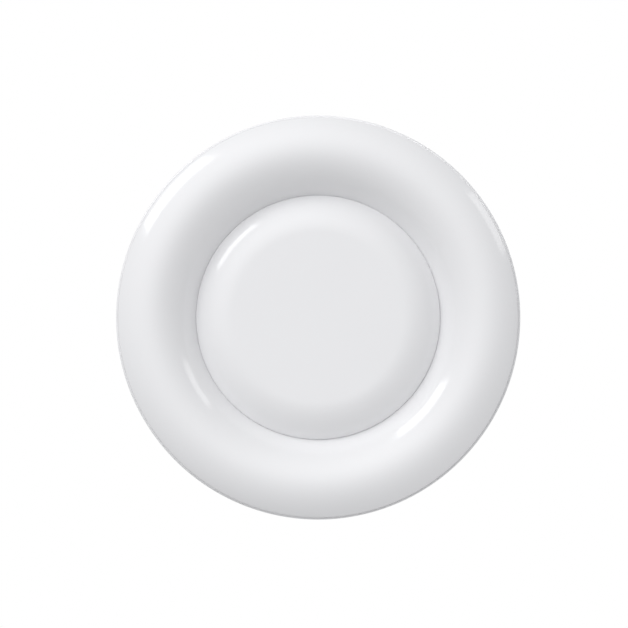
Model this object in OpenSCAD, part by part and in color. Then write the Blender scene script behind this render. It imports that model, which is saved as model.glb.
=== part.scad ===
// Round disc valve for a ceiling duct.
// A face ring pushes into a mounting frame, and a disc on a screwed spindle
// sets the width of the air gap. Z = 0 is the ceiling, +Z runs up the duct.

/* [Face ring] */
// Outside diameter of the face ring
face_d = 170; // [168:0.5:174]
// Diameter at the lowest line of the ring
crest_d = 140.8; // [139.8:0.2:141.8]
// Clear diameter at the ring's collar
throat_d = 100; // [99.6:0.1:100.4]
// Sheet thickness of the ring
ring_sheet = 1.0; // [0.8:0.1:1.2]
// Sheet thickness of the neck tube round the collar
neck_sheet = 0.8; // [0.7:0.05:0.9]
// How far the crest stands below the ceiling
crest_drop = 10.5; // [10:0.5:12]
// Depth of the rounding outside the crest
bulge_h = 6.0; // [5:0.5:7]
// Depth of the rounding inside the crest
slope_h = 19.5; // [18.5:0.5:20]
// Height of the neck above the ceiling
neck_top = 28; // [27:0.5:30]
// Radius of the rolled bead on the outer edge
bead_r = 0.6; // [0.5:0.05:0.65]
// Gap between the rolled bead and the ceiling
bead_gap = 0.9; // [0.5:0.1:1.2]

/* [Disc] */
// Diameter of the disc
disc_d = 102.5; // [102.3:0.1:102.7]
// Radius of the rounding from the flat front to the rim
disc_round = 19.8; // [18:0.2:21]
// Sheet thickness of the disc
disc_sheet = 0.8; // [0.7:0.05:0.9]
// How far the closed disc's front stands behind the crest
disc_back = 5.4; // [4.6:0.2:5.4]

/* [Spindle] */
// Diameter of the spindle
spindle_d = 8; // [7.9:0.05:8]
// Height of the spindle's upper end above the ceiling
spindle_top = 52; // [52:0.5:58]
// Width across the flats of the nuts and the bolt head
hex_af = 13; // [12:0.5:13]
// Radial play between the spindle and the parts it screws through
thread_play = 0.05; // [0.03:0.01:0.08]
// Diameter of the cup behind the disc
hub_d = 26; // [24:1:32]

/* [Crossbar] */
// Width of the crossbar
bar_w = 20; // [18:1:22]
// Thickness of the crossbar
bar_t = 2; // [1.5:0.5:2.5]
// Height of the crossbar's underside above the ceiling
bar_z = 14; // [14:0.5:15]
// Diameter of the crossbar rivets
rivet_d = 4; // [3.2:0.2:4]

/* [Spring clips] */
// Width of a clip
clip_w = 12; // [10:0.5:12]
// Thickness of a clip
clip_t = 0.8; // [0.6:0.1:0.8]
// Turn of the first clip about the axis
clip_start = 90; // [80:5:100]

/* [Mounting frame] */
// Outside diameter of the spigot
spigot_d = 123.5; // [123.3:0.1:123.9]
// Height of the spigot above the ceiling
spigot_l = 40; // [39:1:45]
// Sheet thickness of the frame
frame_sheet = 0.8; // [0.7:0.05:0.9]
// Diameter of the frame's flange
flange_d = 150; // [146:1:151]
// Diameter of the circle the screws stand on
screw_circle_d = 137; // [134:1:139]
// Diameter of the screws
screw_d = 4.2; // [3.9:0.1:4.2]

/* [Hidden] */
$fn = 96;
part_step = 5;
clips = 3;
screws = 3;
gap = 0.3;
touch = 0.05;
wall_sag = 0.12;

face_r = face_d / 2;
crest_r = crest_d / 2;
throat_r = throat_d / 2;
collar_r = throat_r + ring_sheet;
neck_r = collar_r + neck_sheet;
crest_z = -crest_drop;
slope_a = crest_r - throat_r;
slope_cz = crest_z + slope_h;
skirt_r = face_r - 1;
bulge_a = skirt_r - crest_r;
bulge_cz = crest_z + bulge_h;
bead_z = -bead_gap - bead_r;
bead_cr = face_r - bead_r;
bead_start = -180 + acos((bead_cr - skirt_r) / bead_r);
collar_top = 12.3;
neck_bottom = slope_cz + 0.5;

disc_r = disc_d / 2;
front_z = crest_z + disc_back;
back_z = front_z + disc_sheet;
rim_turn = 45;
hem_from = 35;
hem_t = 2 * disc_sheet;
flat_r = disc_r - disc_sheet * (1 - sin(rim_turn)) - disc_round * sin(rim_turn);

spindle_r = spindle_d / 2;
thread_r = spindle_r + thread_play;
hub_r = hub_d / 2;
hub_flange_r = hub_r + 7;
hub_sheet = 1;
hub_h = 7.5;
hub_roof_z = back_z + hub_h;
head_h = 5.3;
disc_nut_h = 5;
buffer_z = hub_roof_z + disc_nut_h + gap;
buffer_h = 2.5;
buffer_r = 9;
groove_r = 3.2;
groove_h = 1.3;
groove_z = spindle_top - 3.5;
e_clip_t = 1;
e_clip_r = 7;

bush_r = 6.5;
bush_top = bar_z + 8;
bush_flange_r = 10;
bush_flange_h = 2;
washer_z = bush_top + gap;
washer_t = 1.6;
washer_r = 8.5;
lock_nut_z = washer_z + washer_t + gap;
lock_nut_h = 6.5;
tab_h = 10;
rivet_r = rivet_d / 2;
rivet_turn = 6;
rivet_z = bar_z + 6.5;
bar_r = collar_r - touch;

foot_from = 11.3;
foot_to = 18.6;
foot_r = neck_r + touch;
clip_rivet_r = 1.6;
clip_rivet_z = 14.9;
pivot_r = neck_r + 0.35 + clip_t / 2;
pivot_z = foot_to + gap + clip_t / 2;
apex_r = 59.35;
apex_z = 30.3;
tip_r = 56.6;
tip_z = 36.3;

spigot_r = spigot_d / 2;
flange_r = flange_d / 2;
bend_r = 2;
screw_circle_r = screw_circle_d / 2;
screw_r = screw_d / 2;
screw_up = 16;
head_r = 4;
pan_h = 2.4;
shank_z = 0.4;
seat_from = 3.8;
seat_to = 10.2;
seat_depth = 0.55;
seat_r = spigot_r - seat_depth;

WHITE = [0.93, 0.93, 0.93];
STEEL = [0.72, 0.73, 0.75];
ZINC = [0.62, 0.65, 0.68];
RUBBER = [0.12, 0.12, 0.13];
FOAM = [0.30, 0.31, 0.32];
NYLON = [0.88, 0.86, 0.80];

// Points of an arc about [r, z], from one angle to another
function arc(r, z, radius, from, to) = [
    for (i = [0 : abs(to - from) / part_step])
        [r + radius * cos(from + sign(to - from) * i * part_step),
         z + radius * sin(from + sign(to - from) * i * part_step)]
];

// Point of the ring's inner slope, inset by a distance, at 0 on the crest and 90 in the neck
function slope_point(turn, inset) = [
    crest_r - (slope_a - inset) * sin(turn),
    slope_cz - (slope_h - inset) * cos(turn)
];

// Point of the ring's outer bulge, inset by a distance, at 0 on the crest and 90 on the skirt
function bulge_point(turn, inset) = [
    crest_r + (bulge_a - inset) * sin(turn),
    bulge_cz - (bulge_h - inset) * cos(turn)
];

// Point of the disc's rounding, inset by a distance, at 0 beside the flat and rim_turn at the rim
function rim_point(turn, inset) = [
    flat_r + (disc_round - inset) * sin(turn),
    front_z + disc_round - (disc_round - inset) * cos(turn)
];

function clip_turn(i) = clip_start + i * 360 / clips;

// A revolved section, given as [r, z] points
module turned(points) {
    rotate_extrude()
        polygon(points);
}

// A tube between two radii
module tube(outer, inner, z, h) {
    translate([0, 0, z])
        difference() {
            cylinder(r = outer, h = h);
            translate([0, 0, -1])
                cylinder(r = inner, h = h + 2);
        }
}

// A hexagon with both ends chamfered
module hexagon(z, h) {
    corner_r = hex_af / 2 / cos(30);
    face_r = corner_r - 1;
    outer_r = corner_r + 0.1;
    chamfer = (outer_r - face_r) / 2;
    intersection() {
        translate([0, 0, z])
            cylinder(r = corner_r, h = h, $fn = 6);
        turned([
            [0, z], [face_r, z], [outer_r, z + chamfer],
            [outer_r, z + h - chamfer], [face_r, z + h], [0, z + h]
        ]);
    }
}

// A hexagon nut
module nut(z, h) {
    difference() {
        hexagon(z, h);
        translate([0, 0, z - 1])
            cylinder(r = thread_r, h = h + 2);
    }
}

// A rod along the radius through the neck
module radial_rod(turn, z, from, to, r) {
    rotate([0, 0, turn])
        translate([from, 0, z])
            rotate([0, 90, 0])
                cylinder(r = r, h = to - from);
}

// A rivet through the neck, with a domed head outside and a formed tail inside
module rivet(turn, z, r, inside, outside) {
    head = 1.7 * r;
    tail = 1.5 * r;
    rim = 0.4;
    dome = 0.85;
    tail_h = 1.2;
    rotate([0, 0, turn])
        translate([0, 0, z])
            rotate([0, 90, 0])
                turned(concat(
                    [
                        [0, inside - tail_h], [tail - rim, inside - tail_h],
                        [tail, inside - tail_h + rim], [tail, inside], [r, inside],
                        [r, outside], [head, outside]
                    ],
                    [for (t = [0 : 15 : 90]) [head * cos(t), outside + rim + dome * sin(t)]]
                ));
}

// Turn of a crossbar rivet, two at each end of the bar
function bar_rivet_turn(i) = (i > 2 ? 180 : 0) + (i % 2 == 0 ? rivet_turn : -rivet_turn);

module face_ring() {
    color(WHITE)
        turned(concat(
            [[throat_r, collar_top]],
            [for (t = [90 : -part_step : 0]) slope_point(t, 0)],
            [for (t = [part_step : part_step : 90]) bulge_point(t, 0)],
            [[skirt_r, bead_z + bead_r * sin(bead_start)]],
            arc(bead_cr, bead_z, bead_r, -120, 90),
            [[skirt_r - ring_sheet, -bead_gap]],
            [for (t = [90 : -part_step : 0]) bulge_point(t, ring_sheet)],
            [for (t = [part_step : part_step : 90]) slope_point(t, ring_sheet)],
            [[collar_r, collar_top]]
        ));
}

module neck() {
    color(WHITE)
        difference() {
            tube(neck_r, collar_r, neck_bottom, neck_top - neck_bottom);
            for (i = [1 : 4])
                radial_rod(bar_rivet_turn(i), rivet_z, throat_r - 2, neck_r + 2, rivet_r + touch);
            for (i = [0 : clips - 1])
                radial_rod(clip_turn(i), clip_rivet_z, throat_r - 2, neck_r + 2, clip_rivet_r + touch);
        }
}

module flange_seal() {
    from = 30;
    to = 75;
    color(FOAM)
        turned(concat(
            [[bulge_point(to, ring_sheet)[0], 0], [bulge_point(from, ring_sheet)[0], 0]],
            [for (t = [from : part_step : to]) bulge_point(t, ring_sheet)]
        ));
}

module crossbar() {
    color(STEEL)
        difference() {
            union() {
                intersection() {
                    translate([0, 0, bar_z])
                        cylinder(r = bar_r, h = bar_t);
                    translate([-collar_r, -bar_w / 2, bar_z])
                        cube([2 * collar_r, bar_w, bar_t]);
                }
                intersection() {
                    tube(bar_r, bar_r - bar_t, bar_z, tab_h);
                    translate([-collar_r, -bar_w / 2, bar_z])
                        cube([2 * collar_r, bar_w, tab_h]);
                }
            }
            translate([0, 0, bar_z - 1])
                cylinder(r = bush_r, h = bar_t + 2);
            for (i = [1 : 4])
                radial_rod(bar_rivet_turn(i), rivet_z, bar_r - 6, bar_r + 2, rivet_r + touch);
        }
}

module crossbar_rivet(i) {
    color(ZINC)
        rivet(bar_rivet_turn(i), rivet_z, rivet_r, bar_r - bar_t - wall_sag, neck_r);
}

module threaded_bush() {
    z = bar_z - bush_flange_h;
    edge = 0.4;
    chamfer = 0.6;
    color(ZINC)
        turned([
            [thread_r, z], [bush_flange_r - edge, z], [bush_flange_r, z + edge],
            [bush_flange_r, bar_z], [bush_r, bar_z], [bush_r, bush_top - chamfer],
            [bush_r - chamfer, bush_top], [thread_r, bush_top]
        ]);
}

module clip_foot(i) {
    color(STEEL)
        rotate([0, 0, clip_turn(i)])
            difference() {
                intersection() {
                    tube(foot_r + clip_t, foot_r, foot_from, foot_to - foot_from);
                    translate([0, -clip_w / 2, foot_from - 1])
                        cube([neck_r + 5, clip_w, foot_to - foot_from + 2]);
                }
                radial_rod(0, clip_rivet_z, throat_r, neck_r + 4, clip_rivet_r + touch);
            }
}

module clip_rivet(i) {
    color(ZINC)
        rivet(clip_turn(i), clip_rivet_z, clip_rivet_r, collar_r - wall_sag, foot_r + clip_t);
}

// A strip between two points of the clip's path, with round ends
module clip_leg(from, to) {
    run = [to[0] - from[0], to[1] - from[1]];
    across = [-run[1], run[0]] / norm(run) * clip_t / 2;
    polygon([
        [from[0] + across[0], from[1] + across[1]],
        [from[0] - across[0], from[1] - across[1]],
        [to[0] - across[0], to[1] - across[1]],
        [to[0] + across[0], to[1] + across[1]]
    ]);
    for (end = [from, to])
        translate(end)
            circle(r = clip_t / 2);
}

module clip_blade(i) {
    color(STEEL)
        rotate([0, 0, clip_turn(i)])
            translate([0, clip_w / 2, 0])
                rotate([90, 0, 0])
                    linear_extrude(height = clip_w)
                        union() {
                            clip_leg([pivot_r, pivot_z], [apex_r, apex_z]);
                            clip_leg([apex_r, apex_z], [tip_r, tip_z]);
                        }
}

module disc_shell() {
    fold = rim_point(rim_turn, disc_sheet);
    color(WHITE)
        turned(concat(
            [[0, front_z]],
            [for (t = [0 : part_step : rim_turn]) rim_point(t, 0)],
            arc(fold[0], fold[1], disc_sheet, part_step - rim_turn, 180 - rim_turn),
            [for (t = [rim_turn - part_step : -part_step : hem_from]) rim_point(t, hem_t)],
            [for (t = [hem_from : -part_step : 0]) rim_point(t, disc_sheet)],
            [[0, back_z]]
        ));
}

module hub_cup() {
    bend = 1;
    inner_bend = 0.4;
    bore_r = spindle_r + 0.2;
    inner_r = hub_r - hub_sheet;
    under_roof = hub_roof_z - hub_sheet;
    color(STEEL)
        turned([
            [hub_flange_r, back_z], [hub_flange_r, back_z + hub_sheet],
            [hub_r + bend, back_z + hub_sheet], [hub_r, back_z + hub_sheet + bend],
            [hub_r, hub_roof_z - bend], [hub_r - bend, hub_roof_z],
            [bore_r, hub_roof_z], [bore_r, under_roof],
            [inner_r - inner_bend, under_roof], [inner_r, under_roof - inner_bend],
            [inner_r, back_z + hub_sheet + inner_bend], [hub_r + inner_bend, back_z]
        ]);
}

module spindle() {
    under_roof = hub_roof_z - hub_sheet;
    chamfer = 0.8;
    color(ZINC)
        union() {
            hexagon(under_roof - head_h, head_h);
            turned([
                [0, under_roof - 1], [spindle_r, under_roof - 1],
                [spindle_r, groove_z], [groove_r, groove_z],
                [groove_r, groove_z + groove_h], [spindle_r, groove_z + groove_h],
                [spindle_r, spindle_top - chamfer], [spindle_r - chamfer, spindle_top],
                [0, spindle_top]
            ]);
        }
}

module disc_nut() {
    color(ZINC)
        nut(hub_roof_z, disc_nut_h);
}

module buffer_washer() {
    color(NYLON)
        tube(buffer_r, spindle_r + gap, buffer_z, buffer_h);
}

module end_clip() {
    slot_w = 4.6;
    relief_w = 1.2;
    relief_r = e_clip_r - 1.8;
    color(STEEL)
        difference() {
            tube(e_clip_r, groove_r + touch, groove_z + 0.15, e_clip_t);
            translate([-slot_w / 2, 0, groove_z - 1])
                cube([slot_w, e_clip_r + 1, e_clip_t + 2]);
            for (turn = [30, 150, 270])
                rotate([0, 0, turn])
                    translate([0, -relief_w / 2, groove_z - 1])
                        cube([relief_r, relief_w, e_clip_t + 2]);
        }
}

module lock_washer() {
    color(ZINC)
        tube(washer_r, spindle_r + 0.25, washer_z, washer_t);
}

module lock_nut() {
    color(ZINC)
        nut(lock_nut_z, lock_nut_h);
}

// Wall of the spigot on one face of the sheet, with the seat pressed in for the lip seal
function spigot_wall(r) = [
    [r, seat_from - seat_depth], [r - seat_depth, seat_from],
    [r - seat_depth, seat_to], [r, seat_to + seat_depth], [r, spigot_l]
];

function reversed(points) = [for (i = [len(points) - 1 : -1 : 0]) points[i]];

function screw_turn(i) = 30 + (i - 1) * 360 / screws;

module mounting_frame() {
    inner_r = spigot_r - frame_sheet;
    color(ZINC)
        difference() {
            turned(concat(
                reversed(spigot_wall(inner_r)),
                arc(inner_r + bend_r, -frame_sheet + bend_r, bend_r, 180, 270),
                [[flange_r, -frame_sheet], [flange_r, 0]],
                arc(inner_r + bend_r, -frame_sheet + bend_r, bend_r - frame_sheet, 270, 180),
                spigot_wall(spigot_r)
            ));
            for (i = [1 : screws])
                rotate([0, 0, screw_turn(i)])
                    translate([screw_circle_r, 0, -frame_sheet - 1])
                        cylinder(r = screw_r + 0.15, h = frame_sheet + 2);
        }
}

// A swept lip of the seal, from its root on the band to its edge and back
function seal_lip(band_r, lip_r, z) = [
    [band_r, z + 0.9], [lip_r - 0.2, z], [lip_r, z + 0.5], [band_r, z + 2]
];

module lip_seal() {
    band_r = seat_r + 1.1;
    lip_r = spigot_r + 1.8;
    color(RUBBER)
        turned(concat(
            [[seat_r, seat_from], [band_r, seat_from]],
            seal_lip(band_r, lip_r, seat_from + 0.5),
            seal_lip(band_r, lip_r - 0.1, seat_from + 3.2),
            [[band_r, seat_to], [seat_r, seat_to]]
        ));
}

module frame_screw(i) {
    z = -frame_sheet;
    slot = [1.0, 4.4, 1.5];
    color(STEEL)
        rotate([0, 0, screw_turn(i)])
            translate([screw_circle_r, 0, 0])
                difference() {
                    turned([
                        [0, z - pan_h], [0.45 * head_r, z - pan_h],
                        [0.75 * head_r, z - 0.85 * pan_h], [0.93 * head_r, z - 0.6 * pan_h],
                        [head_r, z - 0.3 * pan_h], [head_r, z], [screw_r - 0.3, z],
                        [screw_r - 0.3, shank_z], [screw_r, shank_z],
                        [screw_r, screw_up - 4], [0.3, screw_up], [0, screw_up]
                    ]);
                    for (turn = [45, 135])
                        rotate([0, 0, turn])
                            translate([-slot[0] / 2, -slot[1] / 2, z - pan_h - 0.1])
                                cube(slot);
                }
}

mounting_frame();
lip_seal();
frame_screw(1);  // frame_screw_1
frame_screw(2);  // frame_screw_2
frame_screw(3);  // frame_screw_3
face_ring();
neck();
flange_seal();
crossbar();
crossbar_rivet(1);  // crossbar_rivet_1
crossbar_rivet(2);  // crossbar_rivet_2
crossbar_rivet(3);  // crossbar_rivet_3
crossbar_rivet(4);  // crossbar_rivet_4
threaded_bush();
clip_foot(0);  // clip_foot_1
clip_foot(1);  // clip_foot_2
clip_foot(2);  // clip_foot_3
clip_rivet(0);  // clip_rivet_1
clip_rivet(1);  // clip_rivet_2
clip_rivet(2);  // clip_rivet_3
clip_blade(0);  // clip_blade_1
clip_blade(1);  // clip_blade_2
clip_blade(2);  // clip_blade_3
buffer_washer();
disc_shell();
hub_cup();
spindle();
disc_nut();
end_clip();
lock_washer();
lock_nut();
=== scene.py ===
import math

import bmesh
import bpy
from mathutils import Matrix, Vector


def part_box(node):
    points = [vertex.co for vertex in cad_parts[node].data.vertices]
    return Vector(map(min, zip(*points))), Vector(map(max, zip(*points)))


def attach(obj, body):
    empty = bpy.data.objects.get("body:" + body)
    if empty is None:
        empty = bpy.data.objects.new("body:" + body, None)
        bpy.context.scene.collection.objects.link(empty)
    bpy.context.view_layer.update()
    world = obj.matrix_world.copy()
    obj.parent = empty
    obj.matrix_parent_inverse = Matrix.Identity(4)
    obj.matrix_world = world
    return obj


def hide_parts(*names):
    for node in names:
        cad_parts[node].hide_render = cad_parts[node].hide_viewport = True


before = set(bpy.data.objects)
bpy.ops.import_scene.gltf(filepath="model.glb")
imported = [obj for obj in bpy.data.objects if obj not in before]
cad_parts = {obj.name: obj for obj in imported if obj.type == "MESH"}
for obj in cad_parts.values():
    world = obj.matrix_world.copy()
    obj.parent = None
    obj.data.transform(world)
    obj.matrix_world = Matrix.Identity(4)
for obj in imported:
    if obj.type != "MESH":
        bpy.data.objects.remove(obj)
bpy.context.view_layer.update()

# Every size below is in millimetres, in the frame's axes: Z = 0 is the ceiling, +Z runs up
# the duct, and the face looks along -Z. Meshes are turned into metres when they are made.
MM = 0.001
ON_AXIS = 1e-6

# Segments of a large and of a small turned piece.
ROUND = 288
SMALL_ROUND = 96

# Degrees: edges sharper than the first are shaded as edges, and corners of an outline that
# are flatter than the second aren't rounded.
SHARP_ANGLE = 35
STRAIGHT = 163


def node_span(node):
    """Lowest z, highest z and furthest x of a CAD node, in millimetres. The furthest x of a
    round node on the axis is its radius."""
    low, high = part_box(node)
    return low.z / MM, high.z / MM, high.x / MM


# ---------------------------------------------------------------- sizes

# The face ring and its collar.
CREST_Z, COLLAR_TOP, FACE_R = node_span("face_ring")
CREST_R = 70.4
THROAT_R = 50.0
RING_SHEET = 1.0
COLLAR_R = THROAT_R + RING_SHEET
COLLAR_EDGE = 0.3
SKIRT_R = FACE_R - 1.0
BEAD_R = 0.6
BEAD_GAP = 0.9
# Its two flanks: radius at the crest, steepest tilt, and radius of the fold that ends it.
SLOPE_CREST, SLOPE_TILT, SLOPE_FOLD = 18.7, 50.0, 2.5
BULGE_CREST, BULGE_TILT, BULGE_FOLD = 20.5, 39.0, 1.6
FOAM_R = 76.7

NECK_BOTTOM, NECK_TOP, NECK_R = node_span("neck")

# The disc. The CAD disc stays 0.3 mm clear of the ring, and the pressed one all but touches
# the ring when it is shut.
SEATED = 0.22
FRONT_Z, _, CAD_DISC_R = node_span("disc_shell")
DISC_R = CAD_DISC_R + SEATED
DISC_ROUND = 23.0
DISC_SHEET = 0.8
BACK_Z = FRONT_Z + DISC_SHEET
RIM_TURN = 42.0
HEM_FROM = 33.0
FLAT_R = DISC_R - DISC_SHEET * (1 - math.sin(math.radians(RIM_TURN))) \
    - DISC_ROUND * math.sin(math.radians(RIM_TURN))

# The cup behind the disc.
HUB_R = 13.0
HUB_SHEET = 1.0
_, HUB_ROOF, HUB_FLANGE_R = node_span("hub_cup")

# The spindle, its thread and the groove for its end clip.
THREAD_R = 4.0
THREAD_ROOT_R = 3.25
THREAD_PITCH = 1.25
THREAD_PLAY = 0.05
HEAD_BOTTOM, SPINDLE_TOP, _ = node_span("spindle")
GROOVE_Z = SPINDLE_TOP - 3.5
GROOVE_R = 3.2
GROOVE_H = 1.3
HEX_AF = 13.0

# The crossbar and its bush.
BAR_Z, BAR_TAB_TOP, _ = node_span("crossbar")
BAR_R = 50.95
BAR_W = 20.0
BAR_T = 2.0
BUSH_R = 6.5

# The spring clips. The pivot, apex and tip are [r, z] points in the middle of the sheet.
CLIP_W = 12.0
CLIP_T = 0.8
CLIP_APEX = (59.35, 30.3)
CLIP_TIP = (56.6, 36.3)
FOOT_R = 51.85
FOOT_Z = node_span("clip_foot_1")[0]
PIVOT = (52.55, 19.3)
CLIP_TURNS = {"1": 90.0, "2": 210.0, "3": 330.0}

# The mounting frame, its screws and the seat of its lip seal.
_, SPIGOT_TOP, FLANGE_R = node_span("mounting_frame")
FRAME_SHEET = 0.8
SPIGOT_R = 61.75
BEND_R = 2.0
SCREW_CIRCLE_R = 68.5
SCREW_TURNS = {"1": 30.0, "2": 150.0, "3": 270.0}
SCREW_HOLE_R = 2.25
SEAT_FROM, SEAT_TO = 3.8, 10.2
SEAT_DEPTH = 0.55


# ---------------------------------------------------------------- mesh helpers

def arc(r, z, radius, start, end, step=5.0):
    """Points of an arc about [r, z] from one angle to another, in degrees."""
    count = max(2, round(abs(end - start) / step))
    angles = [math.radians(start + (end - start) * i / count) for i in range(count + 1)]
    return [(r + radius * math.cos(a), z + radius * math.sin(a)) for a in angles]


def steps(start, end, count):
    """Evenly spaced numbers from start to end, both included."""
    return [start + (end - start) * i / count for i in range(count + 1)]


def filleted(outline, radius, count=5):
    """A closed outline with its corners rounded. Corners on the axis and flat ones stay."""
    result = []
    for i, point in enumerate(outline):
        corner = Vector(point)
        back = Vector(outline[i - 1]) - corner
        on = Vector(outline[(i + 1) % len(outline)]) - corner
        if corner.x < ON_AXIS or not back.length or not on.length:
            result.append(point)
            continue
        angle = back.angle(on)
        if angle > math.radians(STRAIGHT):
            result.append(point)
            continue
        reach = min(radius / math.tan(angle / 2), 0.45 * min(back.length, on.length))
        start = corner + back.normalized() * reach
        end = corner + on.normalized() * reach
        middle = (back.normalized() + on.normalized()).normalized()
        centre = corner + middle * (reach / math.cos(angle / 2))
        turn = math.pi - angle
        for t in steps(0, 1, count):
            spoke = (math.sin((1 - t) * turn) * (start - centre)
                     + math.sin(t * turn) * (end - centre)) / math.sin(turn)
            result.append(tuple(centre + spoke))
    return result


def finished(name, bm, material, sharp=SHARP_ANGLE):
    """Turns a bmesh in millimetres into a smooth-shaded object in metres."""
    bmesh.ops.remove_doubles(bm, verts=bm.verts, dist=1e-4)
    bmesh.ops.dissolve_degenerate(bm, edges=bm.edges, dist=1e-5)
    bmesh.ops.recalc_face_normals(bm, faces=bm.faces)
    bmesh.ops.scale(bm, vec=(MM, MM, MM), verts=bm.verts)
    mesh = bpy.data.meshes.new(name)
    bm.to_mesh(mesh)
    bm.free()
    mesh.materials.append(material)
    for face in mesh.polygons:
        face.use_smooth = True
    mesh.set_sharp_from_angle(angle=math.radians(sharp))
    obj = bpy.data.objects.new(name, mesh)
    bpy.context.scene.collection.objects.link(obj)
    return obj


def add_grid(bm, rows, closed_rows=False, closed_columns=False):
    """Adds faces between rows of points. A row may be one point, where a surface closes."""
    made = [[bm.verts.new(p) for p in row] for row in rows]
    pairs = list(zip(made, made[1:]))
    if closed_rows:
        pairs.append((made[-1], made[0]))
    width = max(len(row) for row in rows)
    for low, high in pairs:
        if len(low) == 1 and len(high) == 1:
            continue
        for i in range(width if closed_columns else width - 1):
            j = (i + 1) % width
            corners = [low[i % len(low)], low[j % len(low)],
                       high[j % len(high)], high[i % len(high)]]
            bm.faces.new(list(dict.fromkeys(corners)))


def add_lathe(bm, outline, segments=ROUND, place=None):
    """Adds a closed [r, z] outline turned round Z, then moved by a matrix."""
    rows = []
    for r, z in outline:
        if r < ON_AXIS:
            rows.append([Vector((0, 0, z))])
            continue
        angles = [2 * math.pi * i / segments for i in range(segments)]
        rows.append([Vector((r * math.cos(a), r * math.sin(a), z)) for a in angles])
    if place is not None:
        rows = [[place @ p for p in row] for row in rows]
    add_grid(bm, rows, closed_rows=True, closed_columns=True)


def lathe(name, outline, material, segments=ROUND, place=None, sharp=SHARP_ANGLE):
    """An object turned from a closed [r, z] outline."""
    bm = bmesh.new()
    add_lathe(bm, outline, segments, place)
    return finished(name, bm, material, sharp)


def turned_to(degrees):
    """A turn round the object's axis."""
    return Matrix.Rotation(math.radians(degrees), 4, "Z")


def applied(obj):
    """Bakes an object's modifiers into its mesh."""
    bpy.context.view_layer.update()
    graph = bpy.context.evaluated_depsgraph_get()
    mesh = bpy.data.meshes.new_from_object(obj.evaluated_get(graph))
    obj.modifiers.clear()
    obj.data = mesh
    return obj


def bored(obj, tools):
    """Cuts every tool out of an object, and removes the tools."""
    for tool in tools:
        cut = obj.modifiers.new("cut", "BOOLEAN")
        cut.operation = "DIFFERENCE"
        cut.solver = "EXACT"
        cut.object = tool
    applied(obj)
    for tool in tools:
        bpy.data.objects.remove(tool)
    obj.data.set_sharp_from_angle(angle=math.radians(SHARP_ANGLE))
    return obj


def bevelled(obj, width, segments=2):
    """Rounds the sharp edges of an object."""
    sharper_than = 40.0
    bevel = obj.modifiers.new("edges", "BEVEL")
    bevel.width = width * MM
    bevel.segments = segments
    bevel.limit_method = "ANGLE"
    bevel.angle_limit = math.radians(sharper_than)
    return applied(obj)


def rounded_copy(node, name, material, width):
    """A copy of a flat-sided CAD node with rounded edges."""
    flat = math.radians(0.5)
    bm = bmesh.new()
    bm.from_mesh(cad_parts[node].data)
    bmesh.ops.scale(bm, vec=(1 / MM,) * 3, verts=bm.verts)
    bmesh.ops.remove_doubles(bm, verts=bm.verts, dist=1e-3)
    bmesh.ops.dissolve_limit(bm, angle_limit=flat, verts=bm.verts, edges=bm.edges)
    return bevelled(finished(name, bm, material), width)


def joined(name, parts):
    """Puts the meshes of several objects into the first one."""
    bm = bmesh.new()
    for part in parts:
        bm.from_mesh(part.data)
    first = parts[0]
    bm.to_mesh(first.data)
    bm.free()
    for part in parts[1:]:
        bpy.data.objects.remove(part)
    first.name = name
    return first


def add_strip(bm, path, thickness, row_at):
    """Adds a bent sheet strip that follows a path of [r, z] points.

    row_at(i, r, z) gives the points across one face of the strip, at the path's point i.
    """
    count = len(path)
    rows = []
    for side in (1, -1):
        for i in (range(count) if side == 1 else range(count - 1, -1, -1)):
            before, after = Vector(path[max(i - 1, 0)]), Vector(path[min(i + 1, count - 1)])
            along = (after - before).normalized()
            r, z = Vector(path[i]) + Vector((along.y, -along.x)) * side * thickness / 2
            rows.append([bm.verts.new(p) for p in row_at(i, r, z)])
    for low, high in zip(rows, rows[1:] + rows[:1]):
        for i in range(len(low) - 1):
            bm.faces.new((low[i], low[i + 1], high[i + 1], high[i]))
    for i in range(count - 1):
        for edge in (0, -1):
            bm.faces.new((rows[i][edge], rows[i + 1][edge],
                          rows[-2 - i][edge], rows[-1 - i][edge]))


def helix(z_low, z_high, pitch, radius_at, blunt, segments=48):
    """A solid screw thread between two heights, as a bmesh.

    radius_at(phase, z) is its radius at a share of the pitch, and blunt(z) its radius at
    a flat end.
    """
    per_pitch = 10
    rows = []
    count = math.ceil((z_high - z_low) / pitch + 1) * per_pitch
    for i in range(count + 1):
        row = []
        for j in range(segments):
            z = z_low + pitch * (i / per_pitch + j / segments - 1)
            phase = (i % per_pitch) / per_pitch
            radius = radius_at(phase, z)
            if z <= z_low or z >= z_high:
                z = min(max(z, z_low), z_high)
                radius = blunt(z)
            angle = 2 * math.pi * j / segments
            row.append((radius * math.cos(angle), radius * math.sin(angle), z))
        rows.append(row)
    # The last column meets the first one pitch higher, so each face joins by height.
    bm = bmesh.new()
    made = [[bm.verts.new(p) for p in row] for row in rows]
    for i in range(count):
        for j in range(segments):
            if j < segments - 1:
                corners = (made[i][j], made[i][j + 1], made[i + 1][j + 1], made[i + 1][j])
            elif i + per_pitch + 1 <= count:
                corners = (made[i][j], made[i + per_pitch][0],
                           made[i + per_pitch + 1][0], made[i + 1][j])
            else:
                continue
            bm.faces.new(corners)
    bmesh.ops.remove_doubles(bm, verts=bm.verts, dist=1e-4)
    bmesh.ops.dissolve_degenerate(bm, edges=bm.edges, dist=1e-5)
    rims = [e for e in bm.edges if e.is_boundary]
    bmesh.ops.holes_fill(bm, edges=rims, sides=0)
    return bm


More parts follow.
